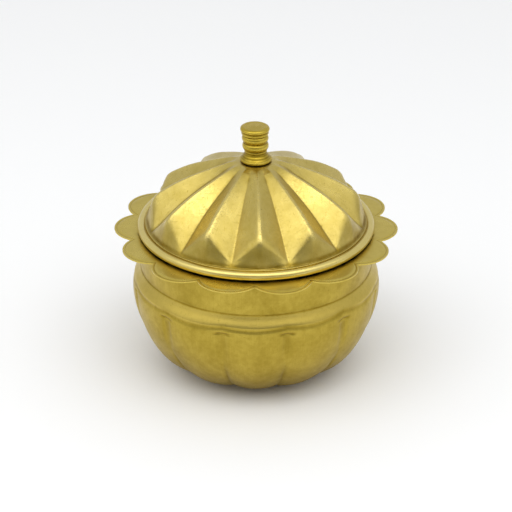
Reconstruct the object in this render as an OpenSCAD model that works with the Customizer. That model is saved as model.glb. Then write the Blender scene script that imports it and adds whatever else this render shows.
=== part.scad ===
// Spice box (masala dabba) in brass: a lobed bowl with a scalloped rim plate, a fluted
// lid with a turned knob, and seven spice cups on a tray inside, with a small spoon.
// Millimetres, +Z up. The origin is on the table, under the middle of the box.

/* [Bowl] */
// Height from the table to the middle of the rim plate
bowl_h = 99; // [95:1:106]
// Largest radius of the bowl, at its belly
belly_r = 84.1; // [83:0.1:86]
// Height of the belly above the table
belly_h = 57.8; // [56:0.1:60]
// Radius of the neck
neck_r = 78.4; // [78:0.1:80]
// Height of the crease where the neck begins
crease_h = 74.4; // [73:0.1:77]
// Radius of the flat base
base_r = 26; // [22:1:30]
// Thickness of the spun brass sheet
wall = 1.2; // [0.9:0.1:1.4]
// Lobes pressed into the bowl
bowl_lobes = 12; // [8:1:14]
// Depth of the valleys between the bowl's lobes
lobe_depth = 2; // [0.5:0.1:2.4]

/* [Rim plate] */
// Petals round the rim plate
petals = 14; // [10:1:16]
// Radius on which the petals' round ends are centred
petal_ring_r = 74.8; // [74:0.1:77]
// Radius of one petal's round end
petal_r = 21; // [19:0.1:22]
// Radius of the bowl's mouth
mouth_r = 74.6; // [74.4:0.1:75]
// Thickness of the plate
plate_t = 0.8; // [0.6:0.1:1]
// Depth of the lip turned down round the mouth
lip_depth = 5; // [3:0.5:8]

/* [Lid] */
// Outer radius of the lid's rolled rim
lid_r = 80; // [79.6:0.1:82]
// Thickness of the lid's sheet
lid_t = 0.9; // [0.7:0.1:1]
// Flutes pressed into the dome
flutes = 12; // [8:1:14]
// How far the lid is turned on the bowl, in degrees
lid_turn = 2.8; // [0:0.1:15]
// Height of the crown above the rim plate
crown_h = 50.4; // [46:0.1:54]
// Height of the ridges' shoulders above the rim plate
shoulder_h = 25; // [22:0.1:28]
// Radius of the rolled bead
bead_r = 3; // [2.6:0.1:3]
// Depth of the locating ring below the rim plate
skirt_depth = 6; // [4:0.5:10]

/* [Knob] */
// Radius of the knob's cap
cap_r = 9.8; // [8.5:0.1:11]
// Height of the knob
knob_h = 24.2; // [22:0.1:28]

/* [Inside] */
// Largest radius of a cup, at its rolled lip
cup_r = 22.5; // [20:0.1:22.6]
// Height of a cup
cup_h = 34; // [28:1:36]
// Distance from the middle of the box to an outer cup
cup_ring_r = 46.5; // [46:0.1:46.8]
// Radius of the tray that the cups stand on
tray_r = 68.8; // [67:0.1:69]
// Height of the tray's underside above the table
tray_h = 23; // [22.6:0.1:24]
// Length of the spoon
spoon_l = 60; // [50:1:62]

/* [Hidden] */
$fn = 96;

brass = [0.72, 0.62, 0.30];
bright_brass = [0.86, 0.77, 0.45];
steel = [0.70, 0.70, 0.68];

eps = 0.01;                          // overlap that joins two shapes of one node
seat_gap = 0.2;                      // air between pieces that only rest on each other
lift = [0, 0, bowl_h];               // the lid's shapes are drawn from the rim plate up

// Faces between rows of seg points each, where row 0 is the first edge of the sheet's outside and
// the rows run on over it and back along its inside. cap_faces closes a sheet that ends in two
// flat discs, and loop_faces one that has a hole all the way through.
function ring_faces(rows, seg) = [
    for (i = [0 : rows - 2], j = [0 : seg - 1])
        each [
            [i * seg + j, i * seg + (j + 1) % seg, (i + 1) * seg + j],
            [i * seg + (j + 1) % seg, (i + 1) * seg + (j + 1) % seg, (i + 1) * seg + j]
        ]
];
function cap_faces(rows, seg) = [
    [for (j = [seg - 1 : -1 : 0]) j],
    [for (j = [0 : seg - 1]) (rows - 1) * seg + j]
];
function loop_faces(rows, seg) = [
    for (j = [0 : seg - 1])
        each [
            [(rows - 1) * seg + j, (rows - 1) * seg + (j + 1) % seg, j],
            [(rows - 1) * seg + (j + 1) % seg, (j + 1) % seg, j]
        ]
];
function smooth(x) = let (t = min(1, max(0, x))) t * t * (3 - 2 * t);

// ---- Bowl: its outline from the base to the neck, as [radius, height] ----

belly_full = 2.672;                  // how square the belly's curve is, sideways
belly_deep = 1.753;                  // and downwards
belly_steps = 13;
band_r = belly_r - 1.4;              // top of the lobes, where the band under the crease starts
band_h = belly_h + 8.8;
neck_top = bowl_h - plate_t / 2;

function belly_point(t) = [
    base_r + (belly_r - base_r) * pow(cos(t), 2 / belly_full),
    belly_h * (1 - pow(sin(t), 2 / belly_deep))
];
bowl_outline = concat(
    [for (i = [0 : belly_steps]) belly_point(90 * (1 - i / belly_steps))],
    [
        [belly_r - 0.2, belly_h + 4.4],
        [band_r, band_h],
        [neck_r + 0.9, crease_h - 1.8],
        [neck_r, crease_h],
        [neck_r + 0.3, (crease_h + neck_top) / 2],
        [neck_r, neck_top]
    ]
);
last = len(bowl_outline) - 1;

// Direction across the sheet at point i, towards the inside of the bowl
function across(i) = let (
    a = bowl_outline[max(0, i - 1)],
    b = bowl_outline[min(last, i + 1)],
    d = (b - a) / norm(b - a)
) i == 0 ? [0, 1] : i == last ? [-1, 0] : [-d[1], d[0]];
bowl_lining = [for (i = [last : -1 : 0]) bowl_outline[i] + across(i) * wall];

// The lobes fade out towards the band above them and on the flat base
function lobe_fade(p) = smooth((band_h - p[1]) / 16) * smooth((p[0] - base_r) / 22);
// 0 along the middle of a lobe, 1 in the valley beside it
function valley(a) = let (u = abs((a * bowl_lobes / 360) % 1 - 0.5) * 2) pow(1 - u, 2.2);
lobe_steps = 8;
bowl_seg = bowl_lobes * lobe_steps;

function bowl_ring(p) = [
    for (j = [0 : bowl_seg - 1])
        let (
            a = 360 * j / bowl_seg,
            r = p[0] - lobe_depth * lobe_fade(p) * valley(a)
        )
        [r * sin(a), -r * cos(a), p[1]]
];

module bowl() {
    rows = concat(bowl_outline, bowl_lining);
    color(brass)
        polyhedron(
            points = [for (p = rows) each bowl_ring(p)],
            faces = concat(
                ring_faces(len(rows), bowl_seg),
                cap_faces(len(rows), bowl_seg)
            ),
            convexity = 10
        );
}

// ---- Rim plate: petals cut round a flat plate, with a lip turned down into the mouth ----

module rim_plate() {
    color(brass)
        difference() {
            union() {
                for (i = [0 : petals - 1])
                    rotate([0, 0, -90 + 360 * (i + 0.5) / petals])
                        translate([petal_ring_r, 0, bowl_h - plate_t / 2])
                            cylinder(r = petal_r, h = plate_t);
                translate([0, 0, bowl_h - plate_t / 2 - lip_depth])
                    cylinder(r = mouth_r + plate_t, h = lip_depth + plate_t / 2);
            }
            translate([0, 0, bowl_h - plate_t - lip_depth])
                cylinder(r = mouth_r, h = lip_depth + 2 * plate_t);
        }
}

// ---- Lid: fluted dome on a rolled rim, seen from the rim plate up ----

land_h = plate_t / 2 + seat_gap + 2 * bead_r - 0.9;   // top of the rim's flat land
dome_foot_r = 73.9 * lid_r / 80;
brim_r = dome_foot_r + 0.8;
inner_r = 70.8 * lid_r / 80;
seat_r = 10.6;                       // flat seat of the knob
hub_r = 18.6;                        // where the ridges and valleys run out
foot_h = land_h + lid_t + 0.3;
screw_r = 2;                         // M4
screw_clear = 0.3;

// Ridge and valley lines as [radius, height], paired row by row: a ridge bends over at its
// shoulder and a valley runs almost straight
ridge_line = [
    [72.5, shoulder_h - 11.5],
    [69.2, shoulder_h - 0.8],
    [66.4, shoulder_h + 2.6],
    [61.8, shoulder_h + 5.7],
    [54.4, shoulder_h + 10],
    [46, shoulder_h + 14],
    [36, shoulder_h + 17.8],
    [hub_r, crown_h - 1.2]
];
valley_line = [
    [73, foot_h + 0.7],
    [70.8, foot_h + 2.6],
    [67.4, foot_h + 5.6],
    [61.8, foot_h + 10.7],
    [54.4, foot_h + 17.3],
    [46, foot_h + 23.8],
    [36, foot_h + 30.6],
    [hub_r, crown_h - 2.6]
];
flute_steps = 8;                     // steps round one whole flute, ridge to ridge
lid_seg = flutes * flute_steps;

function on_circle(r, a, z) = [r * sin(a), -r * cos(a), z];
// A facet is flat from a ridge to the valley beside it
function facet_point(i, j, drop) = let (
    step = 360 / flutes,
    k = floor(j / flute_steps),
    u = (j % flute_steps) / flute_steps,
    w = abs(1 - 2 * u),
    ra = step * (u < 0.5 ? k : k + 1),
    va = step * (k + 0.5),
    rp = on_circle(ridge_line[i][0] - drop, ra, ridge_line[i][1] - drop),
    vp = on_circle(valley_line[i][0] - drop, va, valley_line[i][1] - drop)
) rp * w + vp * (1 - w);
function plain_ring(r, z) = [for (j = [0 : lid_seg - 1]) on_circle(r, 360 * j / lid_seg, z)];
function facet_ring(i, drop) = [for (j = [0 : lid_seg - 1]) facet_point(i, j, drop)];
facets = len(ridge_line) - 1;

module lid_dome() {
    hole_r = screw_r + screw_clear;
    inside = lid_t * 0.8;            // shift in and down that keeps the sheet's thickness
    rings = concat(
        [plain_ring(brim_r, land_h)],
        [plain_ring(brim_r, land_h + lid_t)],
        [plain_ring(dome_foot_r, foot_h)],
        [for (i = [0 : facets]) facet_ring(i, 0)],
        [plain_ring(seat_r, crown_h)],
        [plain_ring(hole_r, crown_h)],
        [plain_ring(hole_r, crown_h - lid_t)],
        [plain_ring(seat_r - 0.4, crown_h - lid_t)],
        [for (i = [facets : -1 : 0]) facet_ring(i, inside)],
        [plain_ring(inner_r, land_h)]
    );
    color(bright_brass)
        translate(lift)
            rotate([0, 0, lid_turn])
                polyhedron(
                    points = [for (r = rings) each r],
                    faces = concat(
                        ring_faces(len(rings), lid_seg),
                        loop_faces(len(rings), lid_seg)
                    ),
                    convexity = 10
                );
}

bead_z = plate_t / 2 + seat_gap + bead_r;
roll_t = 0.8;                        // sheet rolled round the wire

module lid_rim() {
    color(bright_brass)
        translate(lift)
            rotate_extrude()
                difference() {
                    union() {
                        translate([lid_r - bead_r, bead_z])
                            circle(r = bead_r);
                        translate([inner_r, land_h - roll_t])
                            square([lid_r - bead_r - inner_r, roll_t]);
                    }
                    translate([lid_r - bead_r, bead_z])
                        circle(r = bead_r - roll_t);
                }
}

module lid_rim_wire() {
    color(steel)
        translate(lift)
            rotate_extrude()
                translate([lid_r - bead_r, bead_z])
                    circle(r = bead_r - roll_t - 0.05);
}

skirt_r = mouth_r - 0.6;

module lid_locating_ring() {
    color(brass)
        translate(lift)
            rotate_extrude()
                translate([skirt_r - roll_t, -skirt_depth])
                    square([roll_t, skirt_depth + land_h - roll_t]);
}

// ---- Knob: turned from bar, with a flange, two rings and a cap, held by a screw ----

washer_t = 0.8;
knob_z = crown_h + washer_t;
socket_depth = 16;

// The knob's outline from its underside up, as [radius, height], before its rings are added
knob_outline = [
    [10.2, 0],
    [10.7, 0.5],
    [10.7, 1.4],
    [9.6, 2.5],
    [8.6, 3.6],
    [7.6, 4.8],
    [7.3, 6],
    [7.5, 7],
    [7.5, 18.5],
    [cap_r - 1.2, 18.8],
    [cap_r - 0.7, 19.5],
    [cap_r - 0.8, 20.9],
    [cap_r - 0.3, 21.4],
    [cap_r, 22.3],
    [cap_r - 0.3, 23.2],
    [cap_r - 1.1, 23.8],
    [cap_r - 2, 24.1],
    [cap_r - 3, 24.2]
];
knob_ring_h = [10.4, 15.9];          // middles of the two turned rings
knob_ring_r = [8.8, 8.9];            // and their radii
knob_ring_roll = 3.3;

module knob() {
    k = knob_h / 24.2;
    color(bright_brass)
        translate(lift + [0, 0, knob_z])
            difference() {
                union() {
                    rotate_extrude()
                        polygon(concat(
                            [[0, 0]],
                            [for (p = knob_outline) [p[0], p[1] * k]],
                            [[0, knob_h]]
                        ));
                    for (i = [0, 1])
                        rotate_extrude()
                            translate([knob_ring_r[i] - knob_ring_roll, knob_ring_h[i] * k])
                                circle(r = knob_ring_roll);
                }
                translate([0, 0, -1])
                    cylinder(r = screw_r + 0.05, h = socket_depth + 1);
            }
}

module washer(r, t, hole) {
    difference() {
        cylinder(r = r, h = t);
        translate([0, 0, -1])
            cylinder(r = hole, h = t + 2);
    }
}

module knob_seat_washer() {
    color(brass)
        translate(lift + [0, 0, crown_h])
            washer(8.8, washer_t, screw_r + screw_clear);
}

module knob_inner_washer() {
    color(steel)
        translate(lift + [0, 0, crown_h - lid_t - washer_t])
            washer(7, washer_t, screw_r + screw_clear);
}

module knob_screw() {
    head_z = crown_h - lid_t - washer_t;
    color(steel)
        translate(lift + [0, 0, head_z])
            difference() {
                union() {
                    translate([0, 0, -2.4])
                        cylinder(r = 4, h = 2.4);
                    translate([0, 0, -eps])
                        cylinder(r = screw_r, h = lid_t + 2 * washer_t + socket_depth - 2);
                }
                translate([-5, -0.5, -3])
                    cube([10, 1, 1.6]);
            }
}

// ---- Inside: a tray on the bowl's slope, seven cups and a spoon ----

tray_t = 1;
cup_t = 0.8;
cup_bead = 1.1;
cup_z = tray_h + tray_t + 0.05;
cup_foot_r = cup_r - 2.2;

module cup_tray() {
    color(brass)
        translate([0, 0, tray_h])
            rotate_extrude()
                union() {
                    square([tray_r - 0.7, tray_t]);
                    translate([tray_r - 0.7, 0.7])
                        circle(r = 0.7);
                }
}

module cup() {
    color(bright_brass)
        translate([0, 0, cup_z])
            rotate_extrude()
                union() {
                    polygon([
                        [0, 0],
                        [cup_foot_r - 1.2, 0],
                        [cup_foot_r, 1.2],
                        [cup_r - cup_bead, cup_h - cup_bead],
                        [cup_r - cup_bead - cup_t, cup_h - cup_bead],
                        [cup_foot_r - cup_t, 1.4],
                        [cup_foot_r - 1.4, cup_t],
                        [0, cup_t]
                    ]);
                    translate([cup_r - cup_bead, cup_h - cup_bead])
                        circle(r = cup_bead);
                }
}

module outer_cup(i) {
    rotate([0, 0, 60 * (i - 1)])
        translate([cup_ring_r, 0, 0])
            cup();
}

spoon_lean = 7;
scoop_r = 8;                         // radius of the scoop's edge
scoop_ball = 9;                      // radius of the ball that the scoop is pressed over
stem_t = 1.2;

// Drawn upright with its flat side along X and its scoop's back towards -Y
module spoon() {
    scoop_in = sqrt(scoop_ball * scoop_ball - scoop_r * scoop_r);
    color(bright_brass)
        translate([0, cup_r - 7.6, cup_z + cup_t + 0.2])
            rotate([-spoon_lean, 0, 0])
                union() {
                    translate([0, 0, scoop_r])
                        intersection() {
                            translate([0, scoop_in, 0])
                                difference() {
                                    sphere(r = scoop_ball);
                                    sphere(r = scoop_ball - 0.9);
                                }
                            translate([-10, -10, -10])
                                cube([20, 10, 20]);
                        }
                    translate([0, 0, 2 * scoop_r - 0.8])
                        rotate([90, 0, 0])
                            linear_extrude(height = stem_t)
                                union() {
                                    polygon([
                                        [-1.6, 0],
                                        [1.6, 0],
                                        [2.6, spoon_l - 2 * scoop_r - 2.6],
                                        [-2.6, spoon_l - 2 * scoop_r - 2.6]
                                    ]);
                                    translate([0, spoon_l - 2 * scoop_r - 2.6])
                                        circle(r = 2.6);
                                }
                }
}

bowl();
rim_plate();
lid_dome();
lid_rim();
lid_rim_wire();
lid_locating_ring();
knob();
knob_seat_washer();
knob_inner_washer();
knob_screw();
cup_tray();
cup();  // cup_center
outer_cup(1);  // cup_1
outer_cup(2);  // cup_2
outer_cup(3);  // cup_3
outer_cup(4);  // cup_4
outer_cup(5);  // cup_5
outer_cup(6);  // cup_6
spoon();
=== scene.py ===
# %% [markdown]
# # A brass spice box
# The frame holds every piece of the box at its real size and place, in metres, with +Z up and the
# front facing -Y. This lesson dresses that frame. The pressed and spun sheets are modelled anew with
# bmesh, because a pressed lobe or flute needs finer curves than the frame has. The hidden hardware
# keeps its frame shape and only gets a finish.

# %% Load the frame
import math

import bmesh
import bpy
from mathutils import Matrix, Vector, noise


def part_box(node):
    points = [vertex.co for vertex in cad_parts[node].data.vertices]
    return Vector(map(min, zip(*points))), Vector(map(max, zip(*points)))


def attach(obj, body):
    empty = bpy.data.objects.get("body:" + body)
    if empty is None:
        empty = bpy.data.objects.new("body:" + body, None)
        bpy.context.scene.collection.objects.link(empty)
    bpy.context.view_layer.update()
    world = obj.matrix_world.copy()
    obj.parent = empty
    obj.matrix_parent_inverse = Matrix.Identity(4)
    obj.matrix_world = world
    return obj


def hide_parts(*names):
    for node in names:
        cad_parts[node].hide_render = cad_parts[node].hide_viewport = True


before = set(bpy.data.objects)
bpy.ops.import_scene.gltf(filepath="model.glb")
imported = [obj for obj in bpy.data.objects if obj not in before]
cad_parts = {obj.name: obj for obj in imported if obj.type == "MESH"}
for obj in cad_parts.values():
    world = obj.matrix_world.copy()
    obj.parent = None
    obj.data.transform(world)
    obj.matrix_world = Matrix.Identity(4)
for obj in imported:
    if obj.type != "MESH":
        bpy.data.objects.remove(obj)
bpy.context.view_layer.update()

# %% [markdown]
# ## Places and units
# Every piece is drawn in one unit, an eightieth of the lid's radius, which is 1 mm on this box. The
# heights come from the frame's own boxes, so the pieces follow the frame if it is made again.

# %% Read the driving sizes from the frame
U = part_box("lid_rim")[1].x / 80
PLATE_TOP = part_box("rim_plate")[1].z
PLATE_MID = PLATE_TOP - 0.4 * U
BOWL_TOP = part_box("bowl")[1].z
BELLY_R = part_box("bowl")[1].x
DOME_LOW, DOME_HIGH = (corner.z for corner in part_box("lid_dome"))
KNOB_LOW, KNOB_HIGH = (corner.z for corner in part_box("knob"))
print("unit", round(U, 6), "plate", round(PLATE_MID, 4), "crown", round(DOME_HIGH, 4))

# %% [markdown]
# ## Spinning a sheet
# A metal spinner presses a turning disc over a former. The same idea works here: an outline is
# drawn once, in front of the axis, and bmesh turns it round. A float layer keeps each point's place
# along the outline, because the later pressing steps need it. A full turn is merged shut, and the
# points that meet on the axis are welded into one.

# %% Helpers for outlines
def arc(cx, cz, radius, start, stop, steps):
    """Points on an arc about (cx, cz), as [radius, height]; angles in degrees, 0 outwards, 90 up."""
    turn = [math.radians(start + (stop - start) * i / steps) for i in range(steps + 1)]
    return [(cx + radius * math.cos(a), cz + radius * math.sin(a)) for a in turn]


def through(points, steps):
    """A smooth line through a few points, with so many steps between each two."""
    line = []
    for i in range(len(points) - 1):
        p0 = Vector(points[max(i - 1, 0)])
        p1 = Vector(points[i])
        p2 = Vector(points[i + 1])
        p3 = Vector(points[min(i + 2, len(points) - 1)])
        for s in range(steps):
            t = s / steps
            line.append(tuple(0.5 * (
                2 * p1 + (p2 - p0) * t + (2 * p0 - 5 * p1 + 4 * p2 - p3) * t * t
                + (3 * p1 - p0 - 3 * p2 + p3) * t ** 3)))
    return line + [tuple(points[-1])]


def smooth_step(low, high, value):
    """0 below low, 1 above high, and a soft S between them."""
    t = min(1.0, max(0.0, (value - low) / (high - low)))
    return t * t * (3 - 2 * t)


# %% Helpers for spinning
WELD = 1e-6


def spin_outline(outline, steps):
    """A bmesh turned about Z from [radius, height] points in metres, with a 'row' layer."""
    bm = bmesh.new()
    row = bm.verts.layers.float.new("row")
    line = []
    for i, (r, z) in enumerate(outline):
        v = bm.verts.new((0, -r, z))
        v[row] = i
        line.append(v)
    edges = [bm.edges.new(pair) for pair in zip(line, line[1:])]
    bmesh.ops.spin(bm, geom=line + edges, cent=(0, 0, 0), axis=(0, 0, 1), dvec=(0, 0, 0),
                   angle=math.tau, steps=steps, use_merge=True, use_duplicate=False)
    bmesh.ops.remove_doubles(bm, verts=bm.verts, dist=WELD)
    bmesh.ops.recalc_face_normals(bm, faces=bm.faces)
    return bm


def face_up(bm):
    """Turns an open sheet so that the face nearest the top of the axis looks up or outwards."""
    top = max(bm.faces, key=lambda f: f.calc_center_median().z)
    centre = top.calc_center_median()
    outward = Vector((centre.x, centre.y, 0)).normalized() + Vector((0, 0, 1))
    if top.normal.dot(outward) < 0:
        bmesh.ops.reverse_faces(bm, faces=bm.faces)


def in_units(points, lift=0.0):
    """Points drawn in units, moved up by lift metres."""
    return [(r * U, z * U + lift) for r, z in points]


def around(v):
    """Angle of a point round the axis, 0 at the front, in radians."""
    return math.atan2(v.co.x, -v.co.y)


# %% Turn a bmesh into a finished piece
def finish_piece(name, bm, finish, body, stands_for=(), crease=35):
    """Makes the object, shades it, gives it its finish and lets it ride on its body."""
    mesh = bpy.data.meshes.new(name)
    bm.to_mesh(mesh)
    bm.free()
    mesh.shade_smooth()
    mesh.set_sharp_from_angle(angle=math.radians(crease))
    piece = bpy.data.objects.new(name, mesh)
    bpy.context.scene.collection.objects.link(piece)
    mesh.materials.append(finish)
    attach(piece, body)
    if stands_for:
        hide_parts(*stands_for)
    print(name, len(mesh.polygons), "faces")
    return piece


def thicken(piece, thickness):
    """Gives an open sheet its thickness, inwards from the face that shows."""
    wall = piece.modifiers.new("sheet", "SOLIDIFY")
    wall.thickness = thickness
    wall.offset = -1
    wall.use_even_offset = True
    wall.use_quality_normals = True


# %% [markdown]
# ## Brass finishes
# Brass is bare metal, so its colour is all in the reflection. What makes it look used is small: a
# cloudy film of tarnish, fine lines left by the polishing wheel, pits, and grime in the creases. Some
# of the darkening is painted shade: in creases, grooves and gaps, towards the bowl's base, and a
# painted black contact shadow under the lid's bead; the bowl's band gets a painted sheen.
# It could be one large node group, but small steps are easier to follow: each function below adds
# one of them to the skin made so far. The lines follow the way the piece was worked: up and down on
# the bowl, round and round on what was turned on a lathe.

# %% Node helpers
def add(tree, kind, inputs=None, **settings):
    """One node, with its settings and its inputs linked or set."""
    made_node = tree.nodes.new(kind)
    for key, value in settings.items():
        setattr(made_node, key, value)
    for key, value in (inputs or {}).items():
        if isinstance(value, bpy.types.NodeSocket):
            tree.links.new(value, made_node.inputs[key])
        else:
            made_node.inputs[key].default_value = value
    return made_node


def cloud(tree, vector, scale, detail=4.0, roughness=0.55, distortion=0.0):
    """Soft noise from 0 to 1."""
    made_node = add(tree, "ShaderNodeTexNoise", {
        "Vector": vector, "Scale": scale, "Detail": detail,
        "Roughness": roughness, "Distortion": distortion})
    return made_node.outputs["Fac"]


def remap(tree, value, low, high, to_low=0.0, to_high=1.0):
    """Stretches a stretch of values to another, and holds it there."""
    made_node = add(tree, "ShaderNodeMapRange", {
        "Value": value, "From Min": low, "From Max": high, "To Min": to_low, "To Max": to_high})
    return made_node.outputs["Result"]


def blend_colour(tree, amount, a, b, mode="MIX"):
    """Mixes two colours, each a socket or four numbers."""
    made_node = add(tree, "ShaderNodeMix", data_type="RGBA", blend_type=mode)
    for index, value in ((0, amount), (6, a), (7, b)):
        if isinstance(value, bpy.types.NodeSocket):
            tree.links.new(value, made_node.inputs[index])
        else:
            made_node.inputs[index].default_value = value
    return made_node.outputs[2]


def calculate(tree, operation, a, b=0.0):
    """One sum on numbers or sockets."""
    return add(tree, "ShaderNodeMath", {0: a, 1: b}, operation=operation).outputs[0]


def worked_lines(tree, coords, direction, fineness):
    """Noise drawn out into lines that run up the side or round the axis."""
    parts = add(tree, "ShaderNodeSeparateXYZ", {0: coords})
    flat = add(tree, "ShaderNodeCombineXYZ", {0: parts.outputs[0], 1: parts.outputs[1]})
    if direction == "up":
        unit = add(tree, "ShaderNodeVectorMath", {0: flat.outputs[0]}, operation="NORMALIZE")
        spread = add(tree, "ShaderNodeVectorMath", {0: unit.outputs[0], "Scale": fineness},
                     operation="SCALE")
        height = calculate(tree, "MULTIPLY", parts.outputs[2], 26.0)
        rise = add(tree, "ShaderNodeCombineXYZ", {2: height})
        line = add(tree, "ShaderNodeVectorMath", {0: spread.outputs[0], 1: rise.outputs[0]},
                   operation="ADD")
        return cloud(tree, line.outputs[0], 1.0, 6.0, 0.62)
    radius = add(tree, "ShaderNodeVectorMath", {0: flat.outputs[0]}, operation="LENGTH")
    across = calculate(tree, "MULTIPLY", radius.outputs["Value"], fineness)
    height = calculate(tree, "MULTIPLY", parts.outputs[2], fineness)
    unit = add(tree, "ShaderNodeVectorMath", {0: flat.outputs[0]}, operation="NORMALIZE")
    turn = add(tree, "ShaderNodeSeparateXYZ", {0: unit.outputs[0]})
    slow = calculate(tree, "MULTIPLY", turn.outputs[0], 1.4)
    line = add(tree, "ShaderNodeCombineXYZ", {0: across, 1: height, 2: slow})
    return cloud(tree, line.outputs[0], 1.0, 5.0, 0.6)


# %% Tarnish and worked lines
def lay_tarnish(tree, coords, tone, deep, rough, film):
    """The metal's skin so far: cloudy tarnish in large patches and a fine mottle."""
    patches = remap(tree, cloud(tree, coords, 34.0, 5.0, 0.6, 0.4), 0.34, 0.66)
    mottle = remap(tree, cloud(tree, coords, 230.0, 4.0, 0.65), 0.36, 0.68)
    stain = calculate(tree, "ADD", calculate(tree, "MULTIPLY", patches, 0.62),
                      calculate(tree, "MULTIPLY", mottle, 0.38))
    return {
        "colour": blend_colour(tree, calculate(tree, "MULTIPLY", stain, film),
                               (*tone, 1), (*deep, 1)),
        "roughness": remap(tree, stain, 0.0, 1.0, rough * 0.86, rough * 1.18),
        "height": calculate(tree, "MULTIPLY", cloud(tree, coords, 900.0, 3.0), 0.05),
    }


def draw_lines(tree, coords, skin, deep, direction, fineness, lines):
    """Fine lines left by the polishing wheel or the lathe."""
    streak = worked_lines(tree, coords, direction, fineness)
    dull = remap(tree, streak, 0.36, 0.68)
    skin["colour"] = blend_colour(tree, calculate(tree, "MULTIPLY", dull, 0.42 * lines),
                                  skin["colour"], (*deep, 1))
    skin["roughness"] = calculate(tree, "ADD", skin["roughness"],
                                  calculate(tree, "MULTIPLY", dull, 0.05))
    skin["height"] = calculate(tree, "ADD", skin["height"],
                               calculate(tree, "MULTIPLY", streak, lines))


# %% Wear, painted sheen and scratches
SCRATCH_GRAINS = (
    (0.5, (1300.0, 210.0, 420.0)),
    (-0.9, (230.0, 1400.0, 520.0)),
)


def brighten_wear_and_sheen(tree, skin, bright):
    """Lightens the metal where its layer says: wear rubbed bright on the lid's ridges, and a painted
    sheen on the bowl's band.
    """
    wear_and_sheen = add(tree, "ShaderNodeAttribute", attribute_name="wear_and_sheen").outputs["Fac"]
    skin["colour"] = blend_colour(tree, wear_and_sheen, skin["colour"], (*bright, 1))
    skin["roughness"] = calculate(tree, "SUBTRACT", skin["roughness"],
                                  calculate(tree, "MULTIPLY", wear_and_sheen, 0.08))


def scratch_over(tree, coords, skin, deep, scratch):
    """Short curved scratches in two directions, dark and a little sunk."""
    for turn, grain in SCRATCH_GRAINS:
        stretched = add(tree, "ShaderNodeMapping", {
            "Vector": coords, "Rotation": (0.4, 0.3, turn), "Scale": grain})
        marks = remap(tree, cloud(tree, stretched.outputs[0], 1.0, 2.0, 0.5, 1.2), 0.62, 0.72)
        skin["colour"] = blend_colour(tree, calculate(tree, "MULTIPLY", marks, 0.7 * scratch),
                                      skin["colour"], (*deep, 1))
        skin["height"] = calculate(tree, "SUBTRACT", skin["height"],
                                   calculate(tree, "MULTIPLY", marks, 0.6 * scratch))


# %% Pits, grime, painted shade and a painted contact shadow
# Dark tone for pits, and for grime and painted shade in creases, grooves and gaps.
GRIME_AND_SHADE_TONE = (0.22, 0.138, 0.004, 1)
# Near black for a painted contact shadow where two pieces meet.
CONTACT_SHADOW_BLACK = (0.012, 0.009, 0.004, 1)


def pit(tree, coords, skin, pits):
    """Small dark pits that come in groups."""
    spots = add(tree, "ShaderNodeTexVoronoi", {
        "Vector": coords, "Scale": 420.0, "Randomness": 1.0})
    near = remap(tree, spots.outputs["Distance"], 0.12, 0.26, 1.0, 0.0)
    rare = remap(tree, cloud(tree, coords, 110.0, 3.0, 0.7), 0.57, 0.66)
    speck = calculate(tree, "MULTIPLY", near, rare)
    skin["colour"] = blend_colour(tree, calculate(tree, "MULTIPLY", speck, pits),
                                  skin["colour"], GRIME_AND_SHADE_TONE)
    skin["height"] = calculate(tree, "SUBTRACT", skin["height"],
                               calculate(tree, "MULTIPLY", speck, 0.4))


def rub_in_grime_and_shade(tree, coords, skin, grime_and_shade):
    """Grime and painted shade where the 'crease' layer says that shade falls and a cloth cannot reach;
    gives back how much.
    """
    crease = add(tree, "ShaderNodeAttribute", attribute_name="crease").outputs["Fac"]
    broken = remap(tree, cloud(tree, coords, 130.0, 5.0, 0.6), 0.32, 0.66, 0.62, 1.0)
    grime_and_shade_mask = calculate(tree, "MULTIPLY", calculate(tree, "MULTIPLY", crease, broken), grime_and_shade)
    skin["colour"] = blend_colour(tree, grime_and_shade_mask, skin["colour"], GRIME_AND_SHADE_TONE)
    skin["roughness"] = calculate(tree, "ADD", skin["roughness"],
                                  calculate(tree, "MULTIPLY", grime_and_shade_mask, 0.15))
    return grime_and_shade_mask


def paint_contact_shadow(tree, skin, contact_shadow):
    """Painted contact shadow: paints black where two pieces lie on each other and the gap between them
    is in shade.
    """
    contact_shadow_mask = add(tree, "ShaderNodeAttribute", attribute_name="contact_shadow").outputs["Fac"]
    skin["colour"] = blend_colour(tree, calculate(tree, "MULTIPLY", contact_shadow_mask, contact_shadow),
                                  skin["colour"], CONTACT_SHADOW_BLACK)


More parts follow.
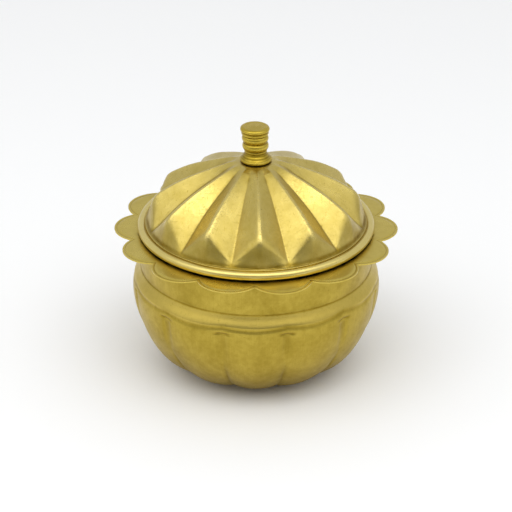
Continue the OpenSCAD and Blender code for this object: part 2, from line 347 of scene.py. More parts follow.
# %% The whole finish
def metal_finish(name, tone, deep, rough, direction=None, fineness=240.0, lines=0.0,
                 scratch=0.0, film=0.5, grime_and_shade=0.0, pits=0.0, lacquer=0.0, contact_shadow=0.0, bright=None):
    """Bare metal: tone where it is clean, deep where tarnish lies, then one step on another."""
    material = bpy.data.materials.new(name)
    material.use_nodes = True
    tree = material.node_tree
    shader = tree.nodes["Principled BSDF"]
    shader.inputs["Metallic"].default_value = 1.0
    shader.inputs["Coat Weight"].default_value = lacquer
    shader.inputs["Coat Roughness"].default_value = 0.22
    coords = add(tree, "ShaderNodeTexCoord").outputs["Object"]

    skin = lay_tarnish(tree, coords, tone, deep, rough, film)
    if direction:
        draw_lines(tree, coords, skin, deep, direction, fineness, lines)
    if bright:
        brighten_wear_and_sheen(tree, skin, bright)
    if scratch:
        scratch_over(tree, coords, skin, deep, scratch)
    if pits:
        pit(tree, coords, skin, pits)
    if grime_and_shade:
        grime_and_shade_mask = rub_in_grime_and_shade(tree, coords, skin, grime_and_shade)
        clean = calculate(tree, "SUBTRACT", 1.0, grime_and_shade_mask)
        tree.links.new(calculate(tree, "MULTIPLY", clean, lacquer), shader.inputs["Coat Weight"])
    if contact_shadow:
        paint_contact_shadow(tree, skin, contact_shadow)

    relief = add(tree, "ShaderNodeBump", {
        "Height": skin["height"], "Strength": 0.5, "Distance": 0.0001})
    tree.links.new(skin["colour"], shader.inputs["Base Color"])
    tree.links.new(skin["roughness"], shader.inputs["Roughness"])
    tree.links.new(relief.outputs[0], shader.inputs["Normal"])
    return material


# %% Every finish on the box
# The bowl's bright colour is a painted sheen on its band; the lid's is wear on its ridges.
satin_brass = metal_finish("satin_brass", (0.57, 0.428, 0.075), (0.36, 0.258, 0.030), 0.38,
                           "up", 300.0, 0.8, scratch=0.6, film=1.0, grime_and_shade=0.85, pits=0.4,
                           bright=(0.63, 0.48, 0.115))
plate_brass = metal_finish("rim_plate_brass", (0.66, 0.52, 0.115), (0.50, 0.38, 0.06), 0.28,
                           scratch=0.18, film=0.7, grime_and_shade=0.7, contact_shadow=0.97)
polished_brass = metal_finish("polished_brass", (0.67, 0.53, 0.145), (0.47, 0.35, 0.055), 0.27,
                              "up", 260.0, 0.6, scratch=1.3, film=0.85, grime_and_shade=0.9, pits=0.6,
                              lacquer=0.4, bright=(0.84, 0.70, 0.28))
rolled_brass = metal_finish("rolled_brass", (0.76, 0.62, 0.20), (0.60, 0.47, 0.12), 0.28,
                            "around", 420.0, 0.15, film=0.5, grime_and_shade=0.9, lacquer=0.3, contact_shadow=0.97)
turned_brass = metal_finish("turned_brass", (0.67, 0.50, 0.085), (0.40, 0.285, 0.022), 0.25,
                            "around", 1500.0, 1.0, film=0.8, grime_and_shade=1.0)
inner_brass = metal_finish("inner_brass", (0.62, 0.48, 0.14), (0.44, 0.32, 0.07), 0.32,
                           "around", 1400.0, 0.7, film=0.7)
cup_brass = metal_finish("cup_brass", (0.80, 0.65, 0.22), (0.60, 0.45, 0.12), 0.20,
                         "around", 1600.0, 0.6, scratch=0.3, film=0.5)
spoon_brass = metal_finish("spoon_brass", (0.80, 0.66, 0.24), (0.58, 0.44, 0.12), 0.18,
                           scratch=0.5, film=0.5)
# Near-black finish for the knob's seat washer: painted shade for the shadow under the knob's foot, not
# the brass's own colour.
dark_brass = metal_finish("dark_brass", (0.02, 0.015, 0.006), (0.012, 0.009, 0.004), 0.6, film=0.8)


def steel_finish(name, tone, rough):
    """Plated or drawn steel with a cloudy surface."""
    return metal_finish(name, tone, tuple(0.7 * c for c in tone), rough, scratch=0.4, film=0.6)


plated_steel = steel_finish("plated_steel", (0.60, 0.59, 0.55), 0.28)
steel_wire = steel_finish("steel_wire", (0.50, 0.49, 0.46), 0.34)
print("finishes:", len(bpy.data.materials))

# %% [markdown]
# ## The bowl
# The bowl is spun from one sheet, then twelve lobes are pressed into it by hand. It could be twelve
# copies of one lobe, but then the neck and base would have seams. So one outline is spun and the
# lobes are pressed afterwards: each point moves in by how near it is to a valley. The valleys are
# soft at the top, where the press left a small dent, and sharper towards the base.

# %% Draw the bowl's outline
BASE_R = 26
BELLY_H = 57.8
BELLY_FULL = 2.672
BELLY_DEEP = 1.753
LEDGE_H = 65.4
CREASE_H = 74.4
NECK_R = 78.4
NECK_STEPS = 14
BELLY_STEPS = 44
LOBES = 12
WALL = 1.2
NOTCH_H = 61.9
LEDGE_WAVE = 1.8
LEDGE_WANDER = 1.6
belly_r = BELLY_R / U
neck_top = BOWL_TOP / U


def belly_point(turn):
    """A squared-off quarter curve from the base to the belly."""
    across = math.cos(turn) ** (2 / BELLY_FULL) if turn < math.pi / 2 else 0.0
    return (BASE_R + (belly_r - BASE_R) * across,
            BELLY_H * (1 - math.sin(turn) ** (2 / BELLY_DEEP)))


base_line = [(BASE_R * i / 5, 0.0) for i in range(5)]
belly_line = [belly_point(math.pi / 2 * (1 - i / BELLY_STEPS)) for i in range(BELLY_STEPS)]
shoulder_line = through([
    (belly_r, BELLY_H), (belly_r - 0.05, BELLY_H + 2.5), (belly_r - 0.3, 63.2),
    (belly_r - 0.6, LEDGE_H), (belly_r - 0.9, LEDGE_H + 1.4), (belly_r - 1.9, LEDGE_H + 3.2),
    (belly_r - 3.7, LEDGE_H + 5.9), (NECK_R + 0.5, CREASE_H - 0.6), (NECK_R + 0.1, CREASE_H - 0.1)], 7)
neck_line = through([
    (NECK_R + 0.1, CREASE_H + 0.3), (NECK_R + 0.5, CREASE_H + 4), (NECK_R + 0.6, 88),
    (NECK_R, neck_top)], NECK_STEPS // 2)
bowl_outline = base_line + belly_line + shoulder_line + neck_line
print("bowl outline points:", len(bowl_outline))


# %% Press the lobes
SPIN_STEPS = 12 * 30
CROWD = 0.5


def crowd_columns(v, count, amount):
    """Moves a point round the axis, so that columns crowd together in the creases."""
    turn = amount * math.sin(around(v) * count) / count
    v.co = Matrix.Rotation(turn, 3, "Z") @ v.co


def bell(distance, width):
    """1 at no distance and about 0 beyond twice the width."""
    return math.exp(-(distance / width) ** 2)


def pressed_in(a, r, z, co):
    """How deep the sheet is pressed in at a place, how much grime and painted shade it gets there, and
    how much painted sheen.
    """
    open_side = abs((a * LOBES / math.tau) % 1.0 - 0.5) * 2
    near = 1 - open_side
    off = open_side * math.pi / LOBES * r
    ledge = LEDGE_H + LEDGE_WAVE * (near ** 1.5 - 0.5) + noise.noise(co / 0.05) * LEDGE_WANDER
    foot = smooth_step(BASE_R - 2, BASE_R + 18, r)
    deepest = 1.2 + 0.9 * smooth_step(48, 14, z) + 1.1 * smooth_step(22, 8, z)
    wide = deepest * near ** 2 * smooth_step(0, 10, ledge - z)
    sharp = 0.9 * bell(off, 1.7) * smooth_step(36, 22, z)
    channel = 0.65 * smooth_step(3.9, 2.0, off) * smooth_step(62, 61, z) * smooth_step(36, 52, z)
    notch = 0.8 * bell(z - NOTCH_H + 0.12 * off, 0.8) * smooth_step(6.4, 3.8, off)
    groove = 0.5 * bell(z - ledge, 1.35)
    # Grime and painted shade in the crease, the notches, the valleys and the groove under the ledge;
    # the darkening towards the base is painted shade only.
    grime_and_shade_mask = max(0.75 * bell(z - CREASE_H, 0.55), 0.75 * notch, 0.85 * sharp * foot,
               0.8 * groove * (0.4 + near), 0.8 * smooth_step(32, 3, z),
               0.4 * bell(off, 2.4) * smooth_step(62, 58, z) * smooth_step(40, 56, z))
    # Painted sheen: the band between the ledge and the crease is lightened, a painted highlight.
    painted_sheen = (0.55 * smooth_step(ledge + 0.6, ledge + 2.2, z)
             * smooth_step(CREASE_H - 0.2, CREASE_H - 1.2, z))
    return (wide + sharp) * foot + channel + notch + groove, min(1.0, grime_and_shade_mask), painted_sheen


bowl = spin_outline(in_units(bowl_outline), SPIN_STEPS)
face_up(bowl)
crease = bowl.verts.layers.float.new("crease")
wear_and_sheen = bowl.verts.layers.float.new("wear_and_sheen")
for v in bowl.verts:
    r = math.hypot(v.co.x, v.co.y) / U
    z = v.co.z / U
    if r < 0.1:
        continue
    crowd_columns(v, LOBES, CROWD)
    depth, grime_and_shade_mask, painted_sheen = pressed_in(around(v), r, z, v.co)
    by_hand = 0.3 * noise.noise(v.co / 0.030) * smooth_step(BASE_R, BASE_R + 14, r)
    keep = (r - depth - (by_hand + 0.1) * smooth_step(0, 6, neck_top - z)) / r
    v.co.x *= keep
    v.co.y *= keep
    v[crease] = grime_and_shade_mask
    v[wear_and_sheen] = painted_sheen
bmesh.ops.recalc_face_normals(bowl, faces=bowl.faces)
face_up(bowl)
bowl_piece = finish_piece("bowl_sheet", bowl, satin_brass, "bowl", ["bowl"],
                          crease=60)
thicken(bowl_piece, WALL * U)

# %% [markdown]
# ## The rim plate
# The plate is cut from flat sheet into fourteen petals, and a fine line is scribed just inside the cut
# edge. It could be cut out with booleans, but arcs that are spun give cleaner loops. One point turns
# about a petal's centre and leaves that petal's edge, and the edge is spun into place fourteen times.
# The band to the mouth is bridged, and three insets leave the scribed line as a small V. The scribed
# line is darkened with grime and painted shade, the plate darkens towards the lid's bead with painted
# shade, and the ring that the bead rests on is painted black as a contact shadow.

# %% Cut the petals
PETALS = 14
PETAL_RING_R = 74.8
PETAL_R = 20.99
PETAL_STEPS = 28
MOUTH_R = 74.6
PLATE_T = 0.8
LIP_DEPTH = 5

half_pitch = math.pi / PETALS
half_chord = PETAL_RING_R * math.sin(half_pitch)
cusp_r = PETAL_RING_R * math.cos(half_pitch) + math.sqrt(PETAL_R ** 2 - half_chord ** 2)
petal_turn = 2 * math.atan2(cusp_r * math.sin(half_pitch),
                            cusp_r * math.cos(half_pitch) - PETAL_RING_R)
petal_centre = Vector((math.sin(half_pitch), -math.cos(half_pitch), 0)) * PETAL_RING_R * U

plate = bmesh.new()
cusp = plate.verts.new((0, -cusp_r * U, 0))
bmesh.ops.spin(plate, geom=[cusp], cent=petal_centre, axis=(0, 0, 1), dvec=(0, 0, 0),
               angle=petal_turn, steps=PETAL_STEPS, use_merge=False)
bmesh.ops.spin(plate, geom=plate.verts[:] + plate.edges[:], cent=(0, 0, 0), axis=(0, 0, 1),
               dvec=(0, 0, 0), angle=math.tau, steps=PETALS, use_merge=False,
               use_duplicate=True)
bmesh.ops.remove_doubles(plate, verts=plate.verts, dist=0.02 * U)
petal_edges = plate.edges[:]
bmesh.ops.create_circle(plate, cap_ends=False, radius=MOUTH_R * U,
                        segments=len(petal_edges))
mouth_edges = [e for e in plate.edges if e not in set(petal_edges)]
band = bmesh.ops.bridge_loops(plate, edges=petal_edges + mouth_edges)["faces"]
print("petal edge points:", len(petal_edges), "band faces:", len(band))

# %% Scribe the line and turn the lip down
LINE_IN = 1.3
LINE_W = 0.34
LINE_DEPTH = 0.2
bmesh.ops.recalc_face_normals(plate, faces=plate.faces)
if band[0].normal.z < 0:
    bmesh.ops.reverse_faces(plate, faces=plate.faces)
for width, sink in ((LINE_IN, 0.0), (LINE_W, -LINE_DEPTH), (LINE_W, LINE_DEPTH)):
    bmesh.ops.inset_region(plate, faces=band, thickness=width * U, depth=sink * U,
                           use_boundary=True, use_even_offset=True)
radial = {e for f in band for e in f.edges
          if abs(math.hypot(*e.verts[0].co.xy) - math.hypot(*e.verts[1].co.xy)) > 4 * U}
bmesh.ops.subdivide_edges(plate, edges=list(radial), cuts=5, use_grid_fill=True)
lip_edges = [e for e in plate.edges if e.is_boundary
             and max(math.hypot(*v.co.xy) for v in e.verts) < (MOUTH_R + 0.5) * U]
turned = bmesh.ops.extrude_edge_only(plate, edges=lip_edges)["geom"]
bmesh.ops.translate(plate, vec=(0, 0, -LIP_DEPTH * U),
                    verts=[g for g in turned if isinstance(g, bmesh.types.BMVert)])
bend = [e for e in plate.edges if len(e.link_faces) == 2
        and abs(e.link_faces[0].normal.dot(e.link_faces[1].normal)) < 0.3]
bmesh.ops.bevel(plate, geom=bend, offset=0.7 * U, segments=4, profile=0.5, material=-1,
                affect="EDGES")
plate_crease = plate.verts.layers.float.new("crease")
plate_contact_shadow = plate.verts.layers.float.new("contact_shadow")
for v in plate.verts:
    r = math.hypot(*v.co.xy) / U
    # Grime and painted shade in the scribed line, and painted shade towards the inner edge under the
    # lid's bead; the ring under the bead gets a painted black contact shadow.
    v[plate_crease] = 1.0 if v.co.z < -0.05 * U and r > 80 else 0.35 * smooth_step(84, 79, r)
    v[plate_contact_shadow] = smooth_step(79.2, 78.6, r) * smooth_step(75.4, 76.2, r)
    flex = smooth_step(82, 94, r)
    v.co.z += flex * noise.noise(v.co / 0.045) * 0.5 * U
bmesh.ops.translate(plate, verts=plate.verts, vec=(0, 0, PLATE_TOP))
plate_piece = finish_piece("rim_plate_sheet", plate, plate_brass, "bowl",
                           ["rim_plate"])
thicken(plate_piece, PLATE_T * U)
edge_round = plate_piece.modifiers.new("worn_edge", "BEVEL")
edge_round.width = 0.1 * U
edge_round.segments = 2
edge_round.limit_method = "ANGLE"
edge_round.angle_limit = math.radians(60)

# %% [markdown]
# ## The fluted lid
# The dome is pressed into twelve flutes. Each ridge bulges, drops at a shoulder to the foot, and is
# joined to the valleys beside it by flat facets, which is why the lid glitters. Pressing a spun dome
# with sharp tools gives just that: the outline is spun, and each point between a ridge and a valley
# is moved onto the straight line between the two, rounded over near the ridge. One pass of smoothing
# softens the creases as thick sheet would, and slow noise adds the dents of handwork.

# %% Ridge and valley lines of the dome
FLUTES = 12
LID_T = 0.9
LID_TURN = math.radians(2.8)
FOOT_R = 73.9
BRIM_R = 74.7
HUB_R = 18.6
HUB_END_R = 22
SEAT_R = 10.6
HOLE_R = 2.3
land = (DOME_LOW - PLATE_MID) / U
crown = (DOME_HIGH - PLATE_MID) / U
foot = land + LID_T + 0.3
LOW_STEPS = 6
HIGH_STEPS = 8
SHOULDER_H = 25.1
HUB_DROP = 1.4
RIDGE_ROUND = 0.06

ridge_low = [(FOOT_R, foot), (FOOT_R - 0.5, foot + 3), (72.5, SHOULDER_H - 11.3)]
ridge_high = [(72.5, SHOULDER_H - 11.3), (71.0, SHOULDER_H - 6), (69.3, SHOULDER_H - 1),
              (66.4, SHOULDER_H + 2.8), (61.8, SHOULDER_H + 5.9), (54.4, SHOULDER_H + 10.2),
              (46, SHOULDER_H + 14.2), (36, SHOULDER_H + 18.1), (26, SHOULDER_H + 21.7),
              (HUB_R, crown - 1.2)]
valley_low = [(FOOT_R, foot), (FOOT_R - 0.4, foot + 0.3), (73.0, foot + 0.7)]
valley_high = [(73.0, foot + 0.7), (72.0, foot + 1.5), (70.8, foot + 2.6), (67.4, foot + 5.6),
               (61.8, foot + 10.7), (54.4, foot + 17.3), (46, foot + 23.8), (36, foot + 30.6),
               (26, foot + 36.6), (HUB_R, crown - 1.2 - HUB_DROP)]
brim_rows = [(BRIM_R, land), (BRIM_R, land + 0.55), (BRIM_R - 0.12, land + 0.8),
             (BRIM_R - 0.4, land + LID_T), (FOOT_R + 0.6, land + LID_T), (FOOT_R + 0.2, foot - 0.2)]
crown_rows = through([(HUB_R, crown - 1.2), (16, crown - 0.7), (13.4, crown - 0.3),
                      (SEAT_R, crown), (6, crown), (HOLE_R, crown)], 4)[1:]
ridge_rows = through(ridge_low, LOW_STEPS)[:-1] + through(ridge_high, HIGH_STEPS)
valley_rows = through(valley_low, LOW_STEPS)[:-1] + through(valley_high, HIGH_STEPS)
lid_outline = brim_rows + ridge_rows + crown_rows
print("ridge rows", len(ridge_rows), "valley rows", len(valley_rows))


# %% Press the flutes
LID_COLUMNS = FLUTES * 28


def on_dome(r, turn, z):
    """A point of the dome in metres, from its radius, its angle from the front and its height."""
    return Vector((r * math.sin(turn) * U, -r * math.cos(turn) * U, z * U + PLATE_MID))


def facet_point(i, turn):
    """Where a point between a ridge and a valley lies: on a flat facet, round near the ridge."""
    pitch = math.tau / FLUTES
    place = turn / pitch
    base = math.floor(place)
    u = place - base
    ridge_turn = (base if u < 0.5 else base + 1) * pitch
    at_ridge = on_dome(ridge_rows[i][0], ridge_turn, ridge_rows[i][1])
    at_valley = on_dome(valley_rows[i][0], (base + 0.5) * pitch, valley_rows[i][1])
    off_ridge = min(1.0, math.hypot(1 - abs(1 - 2 * u), RIDGE_ROUND))
    return at_ridge.lerp(at_valley, off_ridge)


lid = spin_outline(in_units(lid_outline, PLATE_MID), LID_COLUMNS)
face_up(lid)
for v in lid.verts:
    crowd_columns(v, 2 * FLUTES, -CROWD)
lid_row = lid.verts.layers.float["row"]
lid_crease = lid.verts.layers.float.new("crease")
lid_worn = lid.verts.layers.float.new("wear_and_sheen")
first = len(brim_rows)
for v in lid.verts:
    row = round(v[lid_row]) - first
    if row < 0:
        # Painted shade on the brim rows at the dome's foot.
        v[lid_crease] = 0.9 * smooth_step(-4, 0, row)
        continue
    turn = around(v)
    near = 1 - abs(1 - 2 * ((turn * FLUTES / math.tau) % 1.0))
    if row < len(ridge_rows):
        v.co = facet_point(row, turn)
    r = math.hypot(*v.co.xy) / U
    above = (v.co.z - PLATE_MID) / U - foot
    gone = smooth_step(HUB_R - 3, HUB_R + 7, r)
    if row >= len(ridge_rows):
        v.co.z -= HUB_DROP * near * smooth_step(12.5, HUB_R + 0.2, r) * U
    # Grime and painted shade along the valleys, and painted shade at the valley ends near the hub,
    # along the dome's foot and low on the ridges; the ridges are rubbed bright by wear higher up.
    v[lid_crease] = min(1.0, 0.4 * near ** 12 * gone + 0.8 * near ** 5 * bell(r - HUB_END_R, 2.6)
                        + 1.3 * bell(above, 1.9)
                        + 0.6 * smooth_step(18, 8, above) * (1 - near) * gone)
    v[lid_worn] = 0.35 * (1 - near) ** 10 * gone * smooth_step(12, 18, above)
dome_verts = [v for v in lid.verts if round(v[lid_row]) >= first]
bmesh.ops.smooth_vert(lid, verts=dome_verts, factor=0.5, use_axis_x=True, use_axis_y=True,
                      use_axis_z=True)
lid.normal_update()
for v in lid.verts:
    row = round(v[lid_row]) - first
    if row > 1:
        hold = smooth_step(1, 8, row) * smooth_step(SEAT_R, SEAT_R + 4, math.hypot(*v.co.xy) / U)
        dent = noise.noise(v.co / 0.017) * 0.16 + noise.noise(v.co / 0.006) * 0.02
        v.co += v.normal * (dent - 0.08) * hold * U
bmesh.ops.rotate(lid, verts=lid.verts, cent=(0, 0, 0),
                 matrix=Matrix.Rotation(LID_TURN, 3, "Z"))
lid_piece = finish_piece("lid_fluted_dome", lid, polished_brass, "lid",
                         ["lid_dome"], crease=60)
thicken(lid_piece, LID_T * U)

# %% [markdown]
# ## The rolled rim
# The rim is a flat land for the dome and a bead rolled round a wire. Its outline is one open line:
# straight over the land, then most of a circle. Spun and thickened inwards it leaves the hollow
# that the wire lies in. The bead is the brightest line on the box, so it gets a slight waviness,
# as a bead rolled by hand has.

# %% Roll the bead
BEAD_R = 3.0
BEAD_C = 77.0
BEAD_Z = 3.6
INNER_R = 70.8
ROLL_T = 0.8
rim_line = [(INNER_R, land), (72.5, land), (74.3, land)]
LAND_ROWS = len(rim_line)
rim_line += arc(BEAD_C, BEAD_Z, BEAD_R, 136, -203, 64)
rim = spin_outline(in_units(rim_line, PLATE_MID), 360)
rim_crease = rim.verts.layers.float.new("crease")
rim_contact_shadow = rim.verts.layers.float.new("contact_shadow")
rim_row = rim.verts.layers.float["row"]
for v in rim.verts:
    r = math.hypot(*v.co.xy) / U
    z = (v.co.z - PLATE_MID) / U
    # Painted shade on the land under the dome's brim and on the bead's underside; a painted black
    # contact shadow at the bead's lowest edge.
    v[rim_crease] = max(0.8 * smooth_step(75.2, 74.4, r), 0.5 * smooth_step(2.2, 1.4, z))
    v[rim_contact_shadow] = smooth_step(1.7, 1.1, z)
    swell = noise.noise(Vector((v.co.x, v.co.y, 0)) / 0.03) * 0.10
    if v[rim_row] > LAND_ROWS:
        v.co.z += (swell - 0.06) * smooth_step(0.8, 5, z) * U
face_up(rim)
rim_piece = finish_piece("lid_rolled_rim", rim, rolled_brass, "lid", ["lid_rim"])
thicken(rim_piece, ROLL_T * U)

# %% [markdown]
# ## The knob
# The knob is turned from bar: a flared foot, two round rings, and a cap with a flat top. On a lathe
# the tool follows an outline, so the outline is drawn with the same arcs and spun. It is closed over
# the screw's socket, which makes the knob one solid.

# %% Turn the knob
knob_height = (KNOB_HIGH - KNOB_LOW) / U
CAP_R = (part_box("knob")[1].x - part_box("knob")[0].x) / 2 / U - 0.9
SOCKET_R = 2.05
SOCKET_DEEP = 16
FOOT_EDGE_R = CAP_R + 0.9
RING_ROLL = 3.3
foot_line = [(SOCKET_R, 0), (6, 0)]
foot_line += arc(FOOT_EDGE_R - 0.5, 0.5, 0.5, -90, 0, 5)
foot_line += arc(FOOT_EDGE_R - 0.5, 1.2, 0.5, 0, 55, 4)
foot_line += [(10.0, 1.9), (9.75, 2.0), (9.6, 2.35), (9.35, 2.6), (8.95, 2.95), (8.8, 3.05),
              (8.7, 3.5), (8.6, 3.7), (8.1, 4.2), (7.75, 4.55), (7.6, 4.7), (7.5, 5.2)]
foot_line += through([(7.4, 5.6), (7.25, 5.9), (7.45, 6.4), (7.6, 7.0), (7.4, 7.6)], 3)
lower_ring = arc(8.8 - RING_ROLL, 10.4, RING_ROLL, -47, 47, 20)
upper_ring = arc(8.9 - RING_ROLL, 15.9, RING_ROLL, -47, 47, 20)
neck_line = [(7.9, 18.55), (7.95, 18.75)]
cap_line = arc(8.45, 19.5, 0.7, -80, 20, 7) + [(9.15, 20.6), (9.1, 20.85), (8.95, 20.95)]
cap_line += [(8.97, 21.1)] + arc(8.3, 22.3, 1.5, -42, 62, 16)
cap_line += through([(8.8, 23.75), (8.2, 23.98), (7.4, 24.1), (6.9, 24.12), (6.7, 24.02),
                     (6.4, 24.0), (5, 24.05), (3, 24.1), (0.8, 24.18)], 2) + [(0, knob_height)]
stretch = knob_height / 24.2
KNOB_LEAN = 0.033
knob_line = [(0, SOCKET_DEEP), (SOCKET_R, SOCKET_DEEP)]
knob_line += [(r, min(z * stretch, knob_height)) for r, z in
              foot_line + lower_ring + upper_ring + neck_line + cap_line]
knob = spin_outline(in_units(knob_line, KNOB_LOW), 144)
knob_crease = knob.verts.layers.float.new("crease")
for v in knob.verts:
    r = math.hypot(*v.co.xy) / U
    z = (v.co.z - KNOB_LOW) / U
    # Grime and painted shade in the turned grooves, and painted shade under the foot.
    gap = min(abs(z - h) for h in (2.0, 3.3, 4.8, 5.9, 7.9, 13.1, 18.6, 20.95))
    v[knob_crease] = max(smooth_step(0.9, 0.1, gap) * smooth_step(10.2, 9.4, r),
                         0.8 * smooth_step(0.6, 0.1, z))
    if r > SOCKET_R + 1:
        v.co.x -= KNOB_LEAN * z * U
finish_piece("knob_turned", knob, turned_brass, "lid", ["knob"], crease=50)
print("knob height, mm:", round(knob_height, 2))

# %% [markdown]
# ## Cups, tray and spoon
# The seven cups are one spun shape: a rounded foot, a slightly flared wall with two fine lines
# turned near the top, and a lip rolled outwards. They are made by one function and moved to where
# the frame has them. The tray is a flat disc with a rolled edge and two shallow rings.

# %% Spin the cups
CUP_R = 22.5
CUP_BEAD = 1.1
CUP_T = 0.8
cup_height = (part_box("cup_center")[1].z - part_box("cup_center")[0].z) / U
wall_top = cup_height - CUP_BEAD
cup_foot_r = CUP_R - 2.2


def cup_wall(z, inside=0.0):
    """Radius of the cup's wall at a height, with two fine turned lines."""
    lean = cup_foot_r + (CUP_R - CUP_BEAD - cup_foot_r) * z / wall_top
    turned_lines = 0.14 * sum(math.exp(-((z - h) / 0.35) ** 2) for h in (24.6, 26.2))
    return lean - inside - turned_lines


wall_heights = [2.2, 5, 9, 14, 19, 23] + [23.6 + 0.25 * i for i in range(15)] + [28.5, 30.5]
cup_line = [(0, 0.5), (4, 0.45), (14, 0.4), (15.2, 0.05), (16, 0), (17.6, 0)]
cup_line += arc(cup_foot_r - 2.0, 2.0, 2.0, -88, -2, 9)
cup_line += [(cup_wall(z), z) for z in wall_heights]
cup_line += arc(CUP_R - CUP_BEAD, wall_top, CUP_BEAD, -62, 182, 24)
cup_line += [(cup_wall(z, CUP_T), z) for z in reversed(wall_heights)]
cup_line += arc(cup_foot_r - 2.2, 2.6, 1.45, -4, -88, 8)
cup_line += [(15.2, CUP_T + 0.25), (14, CUP_T + 0.42), (4, CUP_T + 0.5), (0, CUP_T + 0.5)]


def spin_cup(node):
    """One cup, where the frame has it."""
    low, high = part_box(node)
    cup = spin_outline(in_units(cup_line, low.z), 112)
    cup_crease = cup.verts.layers.float.new("crease")
    for v in cup.verts:
        z = (v.co.z - low.z) / U
        lip = smooth_step(0.9, 0.2, abs(z - wall_top + CUP_BEAD))
        v[cup_crease] = max(lip, smooth_step(1.6, 0.4, z))
    bmesh.ops.translate(cup, verts=cup.verts,
                        vec=((low.x + high.x) / 2, (low.y + high.y) / 2, 0))
    finish_piece(node + "_spun", cup, cup_brass, node, [node])


for name in ["cup_center"] + [f"cup_{i}" for i in range(1, 7)]:
    spin_cup(name)

# %% Spin the tray
tray_low, tray_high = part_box("cup_tray")
TRAY_R = tray_high.x / U
TRAY_T = 1.0


def tray_rings(r):
    """Depth of the two shallow rings pressed into the tray."""
    return 0.35 * sum(math.exp(-((r - ring) / 1.1) ** 2) for ring in (23.2, 69.8))


tray_radii = [1.2 * i for i in range(57)]
tray_line = [(r, TRAY_T - tray_rings(r)) for r in tray_radii]
tray_line += arc(TRAY_R - 0.7, 0.7, 0.7, 100, -90, 12)
tray_line += [(r, 0.0) for r in (60, 30, 0)]
tray = spin_outline(in_units(tray_line, tray_low.z), 240)
finish_piece("cup_tray_spun", tray, inner_brass, "tray", ["cup_tray"])

# %% [markdown]
# ## The spoon
# The spoon is stamped from one strip. A grid is laid out along its length, its sides are drawn in
# to the spoon's outline, and the scoop is pushed out as part of a ball. That keeps the scoop and the
# stem one sheet, which two joined shapes would not. Solidify and a bevel give the sheet its edge.

# %% Stamp the spoon
SPOON_L = 60
SCOOP_R = 8
SCOOP_BALL = 9
STEM_NECK = 1.7
STEM_END = 2.6
SPOON_LEAN = math.radians(7)
SPOON_T = 0.9


def spoon_half_width(s):
    """Half the spoon's width at a distance from its tip."""
    scoop = math.sqrt(max(0.0, SCOOP_R ** 2 - (s - SCOOP_R) ** 2)) if s < 2 * SCOOP_R else 0.0
    stem = STEM_NECK + (STEM_END - STEM_NECK) * smooth_step(16, SPOON_L - 3, s)
    end = SPOON_L - s
    if end < STEM_END:
        stem = math.sqrt(max(0.0, STEM_END ** 2 - (STEM_END - end) ** 2))
    join = 1.1 * math.exp(-((s - 2 * SCOOP_R) / 1.6) ** 2)
    return max(scoop, stem + join if s > SCOOP_R else 0.0, 0.15)


spoon = bmesh.new()
bmesh.ops.create_grid(spoon, x_segments=18, y_segments=120, size=0.5)
scoop_in = math.sqrt(SCOOP_BALL ** 2 - SCOOP_R ** 2)
for v in spoon.verts:
    s = SPOON_L * (0.5 - 0.5 * math.cos(math.pi * (v.co.y + 0.5)))
    x = 2 * v.co.x * spoon_half_width(s)
    reach = math.hypot(x, s - SCOOP_R)
    ball = math.sqrt(max(0.0, SCOOP_BALL ** 2 - min(reach, SCOOP_R) ** 2)) - scoop_in
    bow = 0.25 * (x / STEM_END) ** 2 * smooth_step(18, 30, s)
    v.co = Vector((x * U, (-ball - bow) * U, s * U))
for _ in range(3):
    bmesh.ops.smooth_vert(spoon, verts=[v for v in spoon.verts if not v.is_boundary], factor=0.5,
                          use_axis_x=True, use_axis_y=True, use_axis_z=True)
cup_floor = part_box("cup_center")[0].z + (CUP_T + 0.55) * U
bmesh.ops.rotate(spoon, verts=spoon.verts, cent=(0, 0, 0),
                 matrix=Matrix.Rotation(-SPOON_LEAN, 3, "X"))
bmesh.ops.translate(spoon, verts=spoon.verts, vec=(0, (CUP_R - 7.6) * U, cup_floor))
bmesh.ops.recalc_face_normals(spoon, faces=spoon.faces)
spoon_piece = finish_piece("spoon_stamped", spoon, spoon_brass, "spoon", ["spoon"])
spoon_wall = spoon_piece.modifiers.new("sheet", "SOLIDIFY")
spoon_wall.thickness = SPOON_T * U
spoon_wall.offset = 0
spoon_edge = spoon_piece.modifiers.new("worn_edge", "BEVEL")
spoon_edge.width = 0.25 * U
spoon_edge.segments = 3
spoon_edge.limit_method = "ANGLE"

# %% [markdown]
# ## Hidden hardware
# The wire, the locating ring, the washers and the screw keep the shape that the frame gives them.
# They only need a finish, which goes into their own material slots.

# %% Finish the frame's own pieces
kept_nodes = {
    "lid_rim_wire": steel_wire,
    "lid_locating_ring": inner_brass,
    # The seat washer is painted near black as the shadow under the knob's foot.
    "knob_seat_washer": dark_brass,
    "knob_inner_washer": plated_steel,
    "knob_screw": plated_steel,
}
for node, finish in kept_nodes.items():
    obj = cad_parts[node]
    obj.data.materials.clear()
    obj.data.materials.append(finish)
print("kept from the frame:", len(kept_nodes))

# %% [markdown]
# ## Floor, light and camera
# The box stands on a plain pale floor. Metal shows what is round it, so the light decides how it
# looks. One wide panel hangs above the front and gives the lid its bright facets. Two small windows
# in front of it brighten single facets, two weaker panels stand at the sides, and a pale room fills
# the rest. The room is dimmer straight in front, where whoever looks at the box stands. The camera
# looks down at 27 degrees, with a long lens.

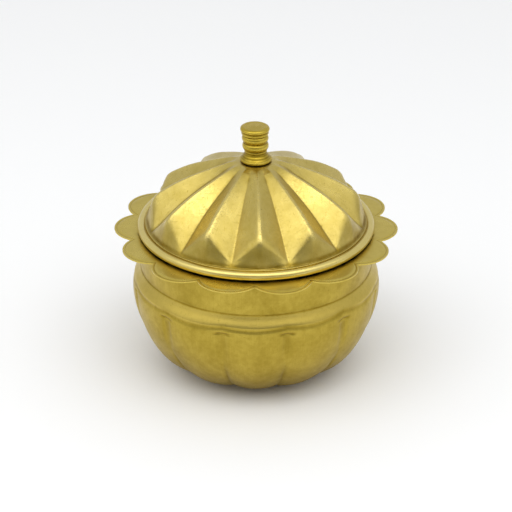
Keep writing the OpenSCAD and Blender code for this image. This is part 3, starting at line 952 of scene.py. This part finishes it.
# %% Floor
floor_mesh = bpy.data.meshes.new("floor")
floor_bm = bmesh.new()
bmesh.ops.create_grid(floor_bm, x_segments=2, y_segments=2, size=6)
floor_bm.to_mesh(floor_mesh)
floor_bm.free()
floor = bpy.data.objects.new("floor", floor_mesh)
bpy.context.scene.collection.objects.link(floor)
paper = bpy.data.materials.new("paper")
paper.use_nodes = True
paper.node_tree.nodes["Principled BSDF"].inputs["Base Color"].default_value = (0.96, 0.96, 0.96, 1)
paper.node_tree.nodes["Principled BSDF"].inputs["Roughness"].default_value = 0.9
floor_mesh.materials.append(paper)


# %% Lights
def soft_light(name, azimuth, height, away, size, radiance):
    """A large soft panel that looks at the middle of the box; azimuth 0 is the front."""
    lamp = bpy.data.lights.new(name, "AREA")
    lamp.shape = "RECTANGLE"
    lamp.size, lamp.size_y = size
    lamp.energy = radiance * math.pi * size[0] * size[1]
    obj = bpy.data.objects.new(name, lamp)
    bpy.context.scene.collection.objects.link(obj)
    turn = math.radians(azimuth)
    tilt = math.radians(height)
    towards = Vector((math.sin(turn) * math.cos(tilt), -math.cos(turn) * math.cos(tilt),
                      math.sin(tilt)))
    obj.location = Vector((0, 0, PLATE_MID)) + towards * away
    obj.rotation_mode = "QUATERNION"
    obj.rotation_quaternion = (-towards).to_track_quat("-Z", "Y")


soft_light("over_front", -6, 64, 1.7, (2.4, 1.7), 1.10)
soft_light("window_left", -9, 64, 1.5, (0.26, 0.22), 2.6)
soft_light("window_right", 20, 71, 1.5, (0.26, 0.22), 2.4)
soft_light("side_left", -74, 38, 1.9, (1.3, 1.1), 0.56)
soft_light("side_right", 66, 44, 1.9, (1.5, 1.3), 0.44)


# %% The pale room
ROOM = 0.74
FRONT_DIM = 0.46
room = bpy.data.worlds.new("pale_room")
room.use_nodes = True
room_tree = room.node_tree
facing = add(room_tree, "ShaderNodeTexCoord").outputs["Generated"]
towards_front = add(room_tree, "ShaderNodeVectorMath", {0: facing, 1: (0, -0.996, 0.087)},
                    operation="DOT_PRODUCT").outputs["Value"]
level = remap(room_tree, towards_front, 0.55, 0.90, ROOM, ROOM * FRONT_DIM)
back = room_tree.nodes["Background"]
back.inputs["Color"].default_value = (0.98, 0.99, 1.0, 1)
room_tree.links.new(level, back.inputs["Strength"])
bpy.context.scene.world = room
bpy.context.scene.view_settings.view_transform = "Standard"

# %% Camera
CAMERA_TILT = math.radians(26.6)
CAMERA_TURN = math.radians(0.6)
CAMERA_AWAY = 19.3 * 80 * U
CAMERA_LOWER = math.radians(0.705)
LENS = 160.45
away = Vector((math.sin(CAMERA_TURN) * math.cos(CAMERA_TILT),
               -math.cos(CAMERA_TURN) * math.cos(CAMERA_TILT), math.sin(CAMERA_TILT)))
camera = bpy.data.objects.new("camera", bpy.data.cameras.new("camera"))
bpy.context.scene.collection.objects.link(camera)
camera.data.lens = LENS
camera.data.sensor_width = 36
camera.location = Vector((0, 0, PLATE_MID)) + away * CAMERA_AWAY
camera.rotation_mode = "QUATERNION"
look = (-away).to_track_quat("-Z", "Y")
camera.rotation_quaternion = look @ Matrix.Rotation(-CAMERA_LOWER, 3, "X").to_quaternion()
camera.data.clip_start = 0.05
bpy.context.scene.camera = camera
